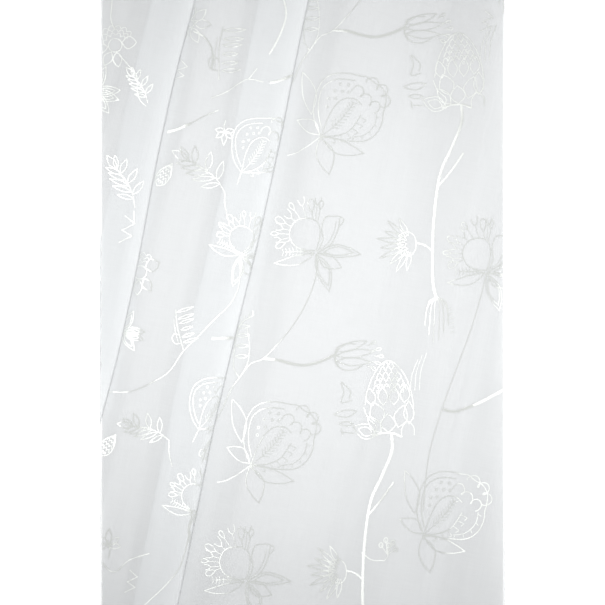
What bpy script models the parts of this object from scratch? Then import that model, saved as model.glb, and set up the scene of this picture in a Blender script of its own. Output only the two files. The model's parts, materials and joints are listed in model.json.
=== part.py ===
"""A cut length of sheer embroidered curtain voile, lying in soft slanting folds.

The cloth lies on the plane z = 0 and is seen from above: +X runs to the right and +Y up its length.
The folds run along the warp, which slants, so they are worked out in a frame of their own:
across is measured square to the folds and along follows them. Metres, +Z up.
"""

import math
from collections import namedtuple

import bmesh
import bpy
from mathutils import Vector

# The cut piece as it lies.
CUT_WIDTH = 0.540
CUT_LENGTH = 0.840
CLOTH_THICKNESS = 0.0012
CUT_TOLERANCE = 0.000005

# How the folds lie in it.
FOLD_SLANT = math.radians(12.0)
ALONG_REACH = 0.475
ROWS = 26
STEPS_PER_SPAN = 2

# A soft ridge in cross-section. run is the share of its run_in or run_out from the crest, and level
# the share of its height. These are control points of a cubic B-spline, which stays below a lone
# high one, so CREST_GAIN makes up for that.
WavePoint = namedtuple("WavePoint", "run level")
WAVE_SECTION = (
    WavePoint(-1.00, 0.0),
    WavePoint(-0.42, 0.6),
    WavePoint(0.00, 1.0),
    WavePoint(0.42, 0.6),
    WavePoint(1.00, 0.0),
)
CREST_GAIN = 6.0 / (4.0 * WAVE_SECTION[2].level + WAVE_SECTION[1].level + WAVE_SECTION[3].level)

# A lapped fold in cross-section: up over the top layer, round a soft roll at its edge, back under it
# to the tuck, and out again along the surface. Each control point lies right of the tuck by so many
# run_ins, laps and roll lengths, at a level that is a share of the fold's height.
LapPoint = namedtuple("LapPoint", "run lap roll level")
LAP_SECTION = (
    LapPoint(run=-1.00, lap=0.00, roll=0.00, level=0.00),
    LapPoint(run=-0.45, lap=0.00, roll=0.00, level=0.34),
    LapPoint(run=0.00, lap=0.20, roll=0.00, level=0.62),
    LapPoint(run=0.00, lap=0.52, roll=0.00, level=0.84),
    LapPoint(run=0.00, lap=1.00, roll=-1.00, level=1.06),
    LapPoint(run=0.00, lap=1.00, roll=0.20, level=1.10),
    LapPoint(run=0.00, lap=1.00, roll=0.20, level=0.58),
    LapPoint(run=0.00, lap=1.00, roll=-1.00, level=0.52),
    LapPoint(run=0.00, lap=0.45, roll=0.00, level=0.43),
    LapPoint(run=0.00, lap=0.00, roll=0.67, level=0.38),
    LapPoint(run=0.00, lap=0.00, roll=-0.33, level=0.33),
    LapPoint(run=0.00, lap=0.00, roll=-0.33, level=0.00),
    LapPoint(run=0.00, lap=0.00, roll=0.67, level=0.00),
    LapPoint(run=0.00, lap=0.50, roll=0.00, level=0.00),
    LapPoint(run=0.00, lap=1.00, roll=-0.30, level=0.00),
)
ROLL_LENGTH = 0.015

# The folds from left to right. Places and runs are in metres, square to the folds: "top" is the far
# end of the length (+Y) and "bottom" the near end. run_in and run_out are how far a fold's foot
# reaches to either side, lap is how far a lapped fold goes back under itself, and the sway moves a
# fold from side to side along its length.
Fold = namedtuple(
    "Fold",
    "name across_top across_bottom height_top height_bottom run_in run_out lap_top lap_bottom "
    "sway sway_length sway_start",
)
FOLDS = (
    Fold("far_left_wave", -0.392, -0.386, 0.014, 0.013, 0.050, 0.046, 0.0, 0.0, 0.002, 0.60, 0.10),
    Fold("left_lap", -0.226, -0.233, 0.013, 0.012, 0.032, 0.000, 0.052, 0.045, 0.003, 0.52, 0.35),
    Fold("small_wave", -0.203, -0.206, 0.005, 0.004, 0.018, 0.022, 0.0, 0.0, 0.002, 0.44, 0.70),
    Fold("middle_lap", -0.075, -0.083, 0.014, 0.013, 0.020, 0.000, 0.060, 0.053, 0.002, 0.58, 0.05),
    Fold("centre_wave", -0.022, -0.018, 0.014, 0.009, 0.040, 0.080, 0.0, 0.0, 0.003, 0.49, 0.55),
    Fold("right_wave", 0.190, 0.199, 0.017, 0.016, 0.085, 0.042, 0.0, 0.0, 0.003, 0.56, 0.25),
    Fold("right_edge_wave", 0.303, 0.315, 0.012, 0.013, 0.055, 0.060, 0.0, 0.0, 0.002, 0.47, 0.80),
)
VALLEY_SHARES = (1.0 / 3.0, 2.0 / 3.0)
EDGE_RUN = 0.030

# The finish of the cloth, from the photo: a cool white, soft and dull.
VOILE_COLOUR = (0.80, 0.82, 0.83, 1.0)
VOILE_ROUGHNESS = 0.85


def clear_scene():
    for thing in list(bpy.data.objects):
        bpy.data.objects.remove(thing, do_unlink=True)


def share_down(along):
    """0 at the top end of the folds and 1 at the bottom end."""
    return (ALONG_REACH - along) / (2.0 * ALONG_REACH)


def mix(top, bottom, share):
    return top + (bottom - top) * share


def wave_outline(crest, height, run_in, run_out):
    """Control points of a soft ridge, as (across, height above the surface), from left to right."""
    outline = []
    for point in WAVE_SECTION:
        run = run_in if point.run < 0.0 else run_out
        outline.append((crest + point.run * run, point.level * height * CREST_GAIN))
    return outline


def lap_outline(edge, height, run_in, lap):
    """Control points of a lapped fold whose upper layer ends at edge, from its foot on the left."""
    outline = []
    for point in LAP_SECTION:
        across = edge - lap + point.run * run_in + point.lap * lap + point.roll * ROLL_LENGTH
        outline.append((across, point.level * height))
    return outline


def valley_points(start, end):
    """Two control points on the surface between two folds, which keep the cloth flat there."""
    return [(mix(start, end, share), 0.0) for share in VALLEY_SHARES]


def control_points(along):
    """The whole cross-section of the cloth at one place along the folds."""
    down = share_down(along)
    points = []
    for fold in FOLDS:
        turn = 2.0 * math.pi * (along / fold.sway_length + fold.sway_start)
        across = mix(fold.across_top, fold.across_bottom, down) + fold.sway * math.sin(turn)
        height = mix(fold.height_top, fold.height_bottom, down)
        lap = mix(fold.lap_top, fold.lap_bottom, down)
        if lap > 0.0:
            outline = lap_outline(across, height, fold.run_in, lap)
        else:
            outline = wave_outline(across, height, fold.run_in, fold.run_out)
        if points:
            points += valley_points(points[-1][0], outline[0][0])
        points += outline
    first, last = points[0][0], points[-1][0]
    before = [(first - EDGE_RUN * step, 0.0) for step in (2, 1)]
    after = [(last + EDGE_RUN * step, 0.0) for step in (1, 2)]
    return before + points + after


def spline_point(points, span, share):
    """A point of the uniform cubic B-spline through four neighbouring control points."""
    weights = (
        (1.0 - share) ** 3 / 6.0,
        (3.0 * share**3 - 6.0 * share**2 + 4.0) / 6.0,
        (-3.0 * share**3 + 3.0 * share**2 + 3.0 * share + 1.0) / 6.0,
        share**3 / 6.0,
    )
    near = points[span : span + 4]
    return tuple(sum(w * p[axis] for w, p in zip(weights, near)) for axis in (0, 1))


def cross_section(along):
    points = control_points(along)
    spans = len(points) - 3
    section = []
    for span in range(spans):
        for step in range(STEPS_PER_SPAN):
            section.append(spline_point(points, span, step / STEPS_PER_SPAN))
    section.append(spline_point(points, spans - 1, 1.0))
    return section


def in_row_frame(across, along, height):
    """From the folds' own frame to X, Y and Z, with the underside of the flat cloth on z = 0."""
    return Vector(
        (
            across * math.cos(FOLD_SLANT) + along * math.sin(FOLD_SLANT),
            -across * math.sin(FOLD_SLANT) + along * math.cos(FOLD_SLANT),
            height + CLOTH_THICKNESS / 2.0,
        )
    )


def middle_of_cloth():
    """Rows of points on the middle of the cloth, from the top end down, larger than the cut piece."""
    rows = []
    for row in range(ROWS + 1):
        along = mix(ALONG_REACH, -ALONG_REACH, row / ROWS)
        rows.append([in_row_frame(across, along, height) for across, height in cross_section(along)])
    return rows


def face_direction(rows, row, column):
    """The way that the cloth's right side faces at one point of the grid."""
    last_row, last_column = len(rows) - 1, len(rows[0]) - 1
    up_the_cloth = rows[max(row - 1, 0)][column] - rows[min(row + 1, last_row)][column]
    to_the_right = rows[row][min(column + 1, last_column)] - rows[row][max(column - 1, 0)]
    return to_the_right.cross(up_the_cloth).normalized()


def thick_cloth():
    """The folded cloth as one closed shell: its right side, its back and a rim all round."""
    rows = middle_of_cloth()
    shell = bmesh.new()
    sides = []
    for offset in (CLOTH_THICKNESS / 2.0, -CLOTH_THICKNESS / 2.0):
        side = []
        for row, points in enumerate(rows):
            side.append(
                [
                    shell.verts.new(point + offset * face_direction(rows, row, column))
                    for column, point in enumerate(points)
                ]
            )
        sides.append(side)
    right_side, back = sides
    for row in range(len(rows) - 1):
        for column in range(len(rows[0]) - 1):
            corners = [(row, column), (row + 1, column), (row + 1, column + 1), (row, column + 1)]
            shell.faces.new([right_side[r][c] for r, c in corners])
            shell.faces.new([back[r][c] for r, c in reversed(corners)])
    rim = [(0, c) for c in range(len(rows[0]))]
    rim += [(r, len(rows[0]) - 1) for r in range(1, len(rows))]
    rim += [(len(rows) - 1, c) for c in reversed(range(len(rows[0]) - 1))]
    rim += [(r, 0) for r in reversed(range(1, len(rows) - 1))]
    for here, there in zip(rim, rim[1:] + rim[:1]):
        (r, c), (next_r, next_c) = here, there
        corners = (right_side[r][c], right_side[next_r][next_c], back[next_r][next_c], back[r][c])
        shell.faces.new(corners)
    return shell


def trim_to_cut(shell):
    """Cuts the folded cloth straight along the four sides of the cut piece, and closes each cut."""
    half_width, half_length = CUT_WIDTH / 2.0, CUT_LENGTH / 2.0
    sides = (
        ((half_width, 0.0, 0.0), (1.0, 0.0, 0.0)),
        ((-half_width, 0.0, 0.0), (-1.0, 0.0, 0.0)),
        ((0.0, half_length, 0.0), (0.0, 1.0, 0.0)),
        ((0.0, -half_length, 0.0), (0.0, -1.0, 0.0)),
    )
    for point, outwards in sides:
        cut = bmesh.ops.bisect_plane(
            shell,
            geom=shell.verts[:] + shell.edges[:] + shell.faces[:],
            dist=CUT_TOLERANCE,
            plane_co=point,
            plane_no=outwards,
            clear_outer=True,
        )
        cut_edges = [part for part in cut["geom_cut"] if isinstance(part, bmesh.types.BMEdge)]
        bmesh.ops.holes_fill(shell, edges=cut_edges)
    bmesh.ops.dissolve_degenerate(shell, edges=shell.edges[:], dist=CUT_TOLERANCE)
    bmesh.ops.recalc_face_normals(shell, faces=shell.faces[:])


def voile_material():
    material = bpy.data.materials.new("voile")
    material.use_nodes = True
    shader = material.node_tree.nodes["Principled BSDF"]
    shader.inputs["Base Color"].default_value = VOILE_COLOUR
    shader.inputs["Roughness"].default_value = VOILE_ROUGHNESS
    shader.inputs["Metallic"].default_value = 0.0
    return material


def make_voile_length():
    shell = thick_cloth()
    trim_to_cut(shell)
    mesh = bpy.data.meshes.new("voile_length")
    shell.to_mesh(mesh)
    shell.free()
    mesh.materials.append(voile_material())
    cloth = bpy.data.objects.new("voile_length", mesh)
    bpy.context.scene.collection.objects.link(cloth)
    return cloth


def main():
    clear_scene()
    make_voile_length()


main()
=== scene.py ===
"""Dress the folded voile: a thin sheer sheet on the solid's own folds, stitched with its flowers.

The cloth lies on z = 0 and is seen from above. Its folds are worked out in a frame of their own:
across is measured square to the folds and along follows them, in metres. The embroidery is drawn on
the flat cloth in millimetres, right along the weft and up along the warp from the first blossom.
"""

import json
import math
from collections import namedtuple

import bmesh
import bpy
import numpy as np
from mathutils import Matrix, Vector

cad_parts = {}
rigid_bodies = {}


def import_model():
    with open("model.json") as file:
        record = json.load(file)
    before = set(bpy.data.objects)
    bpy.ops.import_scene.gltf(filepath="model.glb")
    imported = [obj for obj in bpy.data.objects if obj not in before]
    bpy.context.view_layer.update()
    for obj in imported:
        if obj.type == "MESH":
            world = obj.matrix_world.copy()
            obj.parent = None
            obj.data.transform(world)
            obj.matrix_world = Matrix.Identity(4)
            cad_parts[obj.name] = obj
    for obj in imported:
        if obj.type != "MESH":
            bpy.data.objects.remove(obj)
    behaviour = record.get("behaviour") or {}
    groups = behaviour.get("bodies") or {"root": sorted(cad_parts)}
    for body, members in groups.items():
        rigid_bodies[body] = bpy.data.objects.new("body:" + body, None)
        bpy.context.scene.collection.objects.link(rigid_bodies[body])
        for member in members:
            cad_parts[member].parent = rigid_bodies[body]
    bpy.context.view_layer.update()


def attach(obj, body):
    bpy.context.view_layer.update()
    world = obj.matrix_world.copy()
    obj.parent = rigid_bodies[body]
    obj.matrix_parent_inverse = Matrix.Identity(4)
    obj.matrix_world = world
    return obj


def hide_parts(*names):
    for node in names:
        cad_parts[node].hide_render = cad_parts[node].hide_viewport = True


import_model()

bl_info = {
    "name": "Embroidered voile",
    "version": (1, 0),
    "blender": (4, 5, 0),
    "location": "3D View > Sidebar > Voile",
    "description": "Lays a sheer sheet on its folds and embroiders it with flowers, leaves and stems",
    "category": "Object",
}

NODE = "voile_length"
BODY = "root"
MM_PER_METRE = 1000.0

# The cut piece as it lies, and what it was cut to, spread flat.
CUT_WIDTH = 0.540
CUT_LENGTH = 0.840

# The folds, as the solid has them.
CUT_TOLERANCE = 0.000005
SOLID_THICKNESS = 0.0012
FOLD_SLANT = math.radians(12.0)
ALONG_REACH = 0.475

WavePoint = namedtuple("WavePoint", "run level")
WAVE_SECTION = (
    WavePoint(-1.00, 0.0),
    WavePoint(-0.42, 0.6),
    WavePoint(0.00, 1.0),
    WavePoint(0.42, 0.6),
    WavePoint(1.00, 0.0),
)
# The spline passes under its control points, and this lifts its crest back to the fold's height.
CREST_GAIN = 6.0 / (4.0 * WAVE_SECTION[2].level + WAVE_SECTION[1].level + WAVE_SECTION[3].level)

LapPoint = namedtuple("LapPoint", "run lap roll level")
LAP_SECTION = (
    LapPoint(run=-1.00, lap=0.00, roll=0.00, level=0.00),
    LapPoint(run=-0.45, lap=0.00, roll=0.00, level=0.34),
    LapPoint(run=0.00, lap=0.20, roll=0.00, level=0.62),
    LapPoint(run=0.00, lap=0.52, roll=0.00, level=0.84),
    LapPoint(run=0.00, lap=1.00, roll=-1.00, level=1.06),
    LapPoint(run=0.00, lap=1.00, roll=0.20, level=1.10),
    LapPoint(run=0.00, lap=1.00, roll=0.20, level=0.58),
    LapPoint(run=0.00, lap=1.00, roll=-1.00, level=0.52),
    LapPoint(run=0.00, lap=0.45, roll=0.00, level=0.43),
    LapPoint(run=0.00, lap=0.00, roll=0.67, level=0.38),
    LapPoint(run=0.00, lap=0.00, roll=-0.33, level=0.33),
    LapPoint(run=0.00, lap=0.00, roll=-0.33, level=0.00),
    LapPoint(run=0.00, lap=0.00, roll=0.67, level=0.00),
    LapPoint(run=0.00, lap=0.50, roll=0.00, level=0.00),
    LapPoint(run=0.00, lap=1.00, roll=-0.30, level=0.00),
)
ROLL_LENGTH = 0.015

Fold = namedtuple(
    "Fold",
    "name across_top across_bottom height_top height_bottom run_in run_out lap_top lap_bottom "
    "sway sway_length sway_start",
)
FOLDS = (
    Fold("far_left_wave", -0.392, -0.386, 0.014, 0.013, 0.050, 0.046, 0.0, 0.0, 0.002, 0.60, 0.10),
    Fold("left_lap", -0.226, -0.233, 0.013, 0.012, 0.032, 0.000, 0.052, 0.045, 0.003, 0.52, 0.35),
    Fold("small_wave", -0.203, -0.206, 0.005, 0.004, 0.018, 0.022, 0.0, 0.0, 0.002, 0.44, 0.70),
    Fold("middle_lap", -0.075, -0.083, 0.014, 0.013, 0.020, 0.000, 0.060, 0.053, 0.002, 0.58, 0.05),
    Fold("centre_wave", -0.022, -0.018, 0.014, 0.009, 0.040, 0.080, 0.0, 0.0, 0.003, 0.49, 0.55),
    Fold("right_wave", 0.190, 0.199, 0.017, 0.016, 0.085, 0.042, 0.0, 0.0, 0.003, 0.56, 0.25),
    Fold("right_edge_wave", 0.303, 0.315, 0.012, 0.013, 0.055, 0.060, 0.0, 0.0, 0.002, 0.47, 0.80),
)
VALLEY_SHARES = (1.0 / 3.0, 2.0 / 3.0)
EDGE_RUN = 0.030

# The sheet's grid on those folds, and the spacing at which a point of the flat cloth is looked up.
ROW_STEP = 0.005
COLUMN_STEP = 0.0040
LOOKUP_STEP = 0.001

# Where the pattern's origin, the middle of the first blossom, lies on the flat cloth: so far left of
# the line in the wide valley, and so far up the folds.
VALLEY_LINE = 0.0815
ORIGIN_FROM_VALLEY = -0.0741
ORIGIN_ALONG = 0.2623

# Soft creases, from (u, w) to (u, w) in metres on the flat cloth, with their height and half width.
Crease = namedtuple("Crease", "start end height width")
CREASES = (
    Crease((0.075, 0.16), (0.050, -0.20), 0.0012, 0.010),
    Crease((0.110, 0.05), (0.085, -0.34), -0.0010, 0.008),
    Crease((0.050, -0.10), (0.020, -0.46), 0.0010, 0.009),
    Crease((0.125, -0.30), (0.105, -0.62), 0.0012, 0.011),
    Crease((0.185, 0.10), (0.190, -0.25), 0.0014, 0.007),
    Crease((0.205, -0.20), (0.212, -0.52), -0.0013, 0.006),
    Crease((0.228, -0.15), (0.224, -0.45), 0.0013, 0.006),
    Crease((0.245, 0.14), (0.262, -0.30), 0.0010, 0.008),
    Crease((-0.010, -0.12), (-0.035, -0.40), 0.0009, 0.010),
    Crease((-0.280, 0.12), (-0.300, -0.18), 0.0009, 0.009),
    Crease((-0.320, -0.05), (-0.330, -0.36), -0.0008, 0.010),
    Crease((-0.265, -0.40), (-0.280, -0.70), 0.0009, 0.009),
    Crease((-0.560, 0.05), (-0.575, -0.35), 0.0010, 0.009),
    Crease((0.010, -0.52), (0.050, -0.70), 0.0010, 0.010),
    Crease((0.215, 0.30), (0.205, 0.02), 0.0015, 0.012),
    Crease((-0.115, 0.30), (-0.135, -0.90), 0.0015, 0.008),
)

# Slight puckers all over the cloth: wavelengths across and along it, heading, height and start.
Pucker = namedtuple("Pucker", "across along height start")
PUCKERS = (
    Pucker(0.061, 0.410, 0.00035, 0.3),
    Pucker(0.037, -0.530, 0.00022, 2.1),
    Pucker(0.023, 0.290, 0.00012, 4.4),
    Pucker(-0.083, 0.170, 0.00030, 5.2),
)

# How softly a crease ends, and how much of each trough is kept, since the cloth lies on the floor.
CREASE_FADE = 0.7
TROUGH_SHARE = 0.3


def share_down(along):
    """0 at the top end of the folds and 1 at the bottom end."""
    return (ALONG_REACH - along) / (2.0 * ALONG_REACH)


def mix(top, bottom, share):
    return top + (bottom - top) * share


def wave_outline(crest, height, run_in, run_out):
    """Control points of a soft ridge, as (across, height above the surface), from left to right."""
    outline = []
    for point in WAVE_SECTION:
        run = run_in if point.run < 0.0 else run_out
        outline.append((crest + point.run * run, point.level * height * CREST_GAIN))
    return outline


def lap_outline(edge, height, run_in, lap):
    """Control points of a lapped fold whose upper layer ends at edge, from its foot on the left."""
    outline = []
    for point in LAP_SECTION:
        across = edge - lap + point.run * run_in + point.lap * lap + point.roll * ROLL_LENGTH
        outline.append((across, point.level * height))
    return outline


def control_points(along):
    """The whole cross-section of the cloth at one place along the folds."""
    down = share_down(along)
    points = []
    for fold in FOLDS:
        turn = 2.0 * math.pi * (along / fold.sway_length + fold.sway_start)
        across = mix(fold.across_top, fold.across_bottom, down) + fold.sway * math.sin(turn)
        height = mix(fold.height_top, fold.height_bottom, down)
        lap = mix(fold.lap_top, fold.lap_bottom, down)
        if lap > 0.0:
            outline = lap_outline(across, height, fold.run_in, lap)
        else:
            outline = wave_outline(across, height, fold.run_in, fold.run_out)
        if points:
            points += [(mix(points[-1][0], outline[0][0], share), 0.0) for share in VALLEY_SHARES]
        points += outline
    first, last = points[0][0], points[-1][0]
    before = [(first - EDGE_RUN * step, 0.0) for step in (2, 1)]
    after = [(last + EDGE_RUN * step, 0.0) for step in (1, 2)]
    return np.array(before + points + after)


def spline_points(points, steps):
    """Points of the uniform cubic B-spline, as many in each span as steps says."""
    pieces = []
    for span, count in enumerate(steps):
        share = np.arange(count)[:, None] / count
        weights = (
            (1.0 - share) ** 3 / 6.0,
            (3.0 * share**3 - 6.0 * share**2 + 4.0) / 6.0,
            (-3.0 * share**3 + 3.0 * share**2 + 3.0 * share + 1.0) / 6.0,
            share**3 / 6.0,
        )
        pieces.append(sum(weight * points[span + near] for near, weight in enumerate(weights)))
    return np.concatenate(pieces)


def crease_height(u, w):
    """How far the creases and puckers lift the cloth at places on the flat cloth."""
    lift = np.zeros_like(u)
    for crease in CREASES:
        start, end = np.array(crease.start), np.array(crease.end)
        run = end - start
        length = np.hypot(*run)
        share = ((u - start[0]) * run[0] + (w - start[1]) * run[1]) / length**2
        aside = ((u - start[0]) * run[1] - (w - start[1]) * run[0]) / length
        fade = np.sin(np.pi * np.clip(share, 0.0, 1.0)) ** CREASE_FADE
        lift += crease.height * fade * np.exp(-((aside / crease.width) ** 2))
    for pucker in PUCKERS:
        turn = 2.0 * np.pi * (u / pucker.across + w / pucker.along) + pucker.start
        lift += pucker.height * np.sin(turn)
    return np.maximum(lift, 0.0) - TROUGH_SHARE * np.maximum(-lift, 0.0)


def normalised(vectors):
    return vectors / np.linalg.norm(vectors, axis=-1, keepdims=True)


def facing(grid):
    """The direction that each point of a grid of places faces, columns running to the right."""
    to_the_right = np.gradient(grid, axis=1)
    up_the_cloth = np.gradient(grid, axis=0)
    return normalised(np.cross(to_the_right, up_the_cloth))


class FoldedCloth:
    """Where each point of the flat cloth lies once the cloth is folded."""

    def __init__(self):
        self.along = np.arange(-ALONG_REACH, ALONG_REACH + ROW_STEP / 2.0, ROW_STEP)
        middle = np.diff(control_points(0.0), axis=0)[1:-1]
        steps = np.maximum(2, np.round(np.hypot(*middle.T) / COLUMN_STEP)).astype(int)
        rows, flat = [], []
        for along in self.along:
            section = spline_points(control_points(along), steps)
            arc = np.concatenate([[0.0], np.cumsum(np.hypot(*np.diff(section, axis=0).T))])
            in_valley = section[:, 0] > 0.0
            valley = np.interp(VALLEY_LINE, section[in_valley, 0], arc[in_valley])
            rows.append(np.column_stack([section[:, 0], np.full(len(arc), along), section[:, 1]]))
            flat.append(arc - valley - ORIGIN_FROM_VALLEY)
        self.u = np.array(flat)
        self.w = np.repeat((self.along - ORIGIN_ALONG)[:, None], self.u.shape[1], axis=1)
        folds = np.array(rows)
        folds += facing(folds) * crease_height(self.u, self.w)[..., None]
        self.places = self.in_row_frame(folds)

    @staticmethod
    def in_row_frame(folds):
        """From the folds' own frame to X, Y and Z, with the solid's underside on z = 0."""
        across, along, height = np.moveaxis(folds, -1, 0)
        x = across * math.cos(FOLD_SLANT) + along * math.sin(FOLD_SLANT)
        y = -across * math.sin(FOLD_SLANT) + along * math.cos(FOLD_SLANT)
        return np.stack([x, y, height + SOLID_THICKNESS / 2.0], axis=-1)

    def lookup(self):
        """Places and directions on an even grid of the flat cloth, and its first u."""
        first = float(self.u[:, 0].max())
        count = int((float(self.u[:, -1].min()) - first) / LOOKUP_STEP)
        even = first + LOOKUP_STEP * np.arange(count)
        grid = np.empty((len(self.along), count, 3))
        for row in range(len(self.along)):
            for axis in range(3):
                grid[row, :, axis] = np.interp(even, self.u[row], self.places[row, :, axis])
        return grid, facing(grid), first


class Embroidery:
    """Puts lines that are drawn on the flat cloth, in millimetres, onto the folded cloth."""

    def __init__(self, cloth):
        self.grid, self.directions, self.first_u = cloth.lookup()
        self.first_w = float(cloth.along[0]) - ORIGIN_ALONG

    def place(self, points):
        """Places on the folded cloth, the cloth's directions there, and which lie in the cut piece."""
        column = (points[:, 0] / MM_PER_METRE - self.first_u) / LOOKUP_STEP
        row = (points[:, 1] / MM_PER_METRE - self.first_w) / ROW_STEP
        last_row, last_column = self.grid.shape[0] - 2, self.grid.shape[1] - 2
        on_cloth = (column >= 0) & (column <= last_column) & (row >= 0) & (row <= last_row)
        column, row = np.clip(column, 0, last_column), np.clip(row, 0, last_row)
        c, r = column.astype(int), row.astype(int)
        to_right, up = (column - c)[:, None], (row - r)[:, None]

        def blended(grid):
            below = grid[r, c] * (1.0 - to_right) + grid[r, c + 1] * to_right
            above = grid[r + 1, c] * (1.0 - to_right) + grid[r + 1, c + 1] * to_right
            return below * (1.0 - up) + above * up

        places, directions = blended(self.grid), normalised(blended(self.directions))
        in_cut = (np.abs(places[:, 0]) < CUT_WIDTH / 2.0 - EDGE_MARGIN) & (
            np.abs(places[:, 1]) < CUT_LENGTH / 2.0 - EDGE_MARGIN
        )
        return places, directions, on_cloth & in_cut


# Threads, in millimetres: a stitch's width and length, how far apart stitches start, how high one
# stands, and how far it leans from its line, in degrees.
Thread = namedtuple("Thread", "width length pitch height lean")
THREADS = {
    "outline": Thread(width=1.3, length=2.0, pitch=1.00, height=0.16, lean=60.0),
    "fine": Thread(width=1.1, length=1.5, pitch=0.95, height=0.13, lean=58.0),
    "stem": Thread(width=1.5, length=3.4, pitch=0.95, height=0.18, lean=66.0),
    "satin": Thread(width=1.4, length=5.0, pitch=0.90, height=0.20, lean=70.0),
}

# A stitch's middle lies this far above the middle of the voile, less this share of half its height.
SURFACE_LIFT = 0.00030
SUNK_SHARE = 0.3
# Stitches keep so far from the cut edge, in metres.
EDGE_MARGIN = 0.002
# The points of a drawn line are about so far apart, in millimetres.
LINE_STEP = 1.6

Line = namedtuple("Line", "thread points")

# One side of a leaf, in shares of its length and width, and where a leaf inside it starts.
LEAF_SIDE = ((0.0, 0.0), (0.22, 0.34), (0.47, 0.50), (0.78, 0.30), (1.0, 0.0))
INNER_LEAF_START = 0.46
# The loop at the end of a stamen, in shares of its length.
CLUB_LOOP = ((0.0, 0.0), (0.45, 0.22), (0.85, 0.20), (1.0, 0.0), (0.85, -0.20), (0.45, -0.22), (0.0, 0.0))
# The prongs of a forked stamen: degrees from its stalk, and share of the prong's length. Half way up,
# a prong stands so much further from the stalk's direction.
FORK_PRONGS = ((-26.0, 1.0), (22.0, 0.8))
FORK_BEND = 1.6
# A small hook leaves its line at the first angle and turns back at the second, in degrees.
CURL_OUT = -78.0
CURL_BACK = -160.0
# A knob swells along its line by this share of its size.
KNOB_BULGE = 0.62
POINTS_PER_ARCH = 6
POINTS_PER_KNOB = 14
# Points of a ring are so many degrees apart, and a dot's radii are in millimetres.
RING_STEP = 40
DOT_RADII = (1.7, 1.9)


def smooth(points, closed=False):
    """Close points on a smooth curve through a few."""
    p = np.asarray(points, float)
    if closed:
        p = np.concatenate([p[-1:], p, p[:2]])
    else:
        p = np.concatenate([2.0 * p[:1] - p[1:2], p, 2.0 * p[-1:] - p[-2:-1]])
    pieces = []
    for before, here, there, after in zip(p, p[1:], p[2:], p[3:]):
        steps = max(2, round(float(np.hypot(*(there - here))) / LINE_STEP))
        t = np.arange(steps)[:, None] / steps
        bend = 2.0 * before - 5.0 * here + 4.0 * there - after
        twist = 3.0 * here - before - 3.0 * there + after
        pieces.append(here + 0.5 * ((there - before) * t + bend * t**2 + twist * t**3))
    pieces.append(p[-2:-1])
    return np.concatenate(pieces)


def turned(points, degrees):
    """Points turned anticlockwise about the origin."""
    turn = math.radians(degrees)
    spin = np.array([[math.cos(turn), math.sin(turn)], [-math.sin(turn), math.cos(turn)]])
    return np.asarray(points, float) @ spin


def along_line(points, shares):
    """Points at these shares of a line's length, and the line's direction at each."""
    run = np.concatenate([[0.0], np.cumsum(np.hypot(*np.diff(points, axis=0).T))])

    def at(distance):
        return np.column_stack([np.interp(distance, run, points[:, axis]) for axis in (0, 1)])

    wanted = np.asarray(shares, float) * run[-1]
    ahead = at(np.minimum(wanted + 1.0, run[-1]))
    return at(wanted), normalised(ahead - at(np.maximum(wanted - 1.0, 0.0)))


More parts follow.
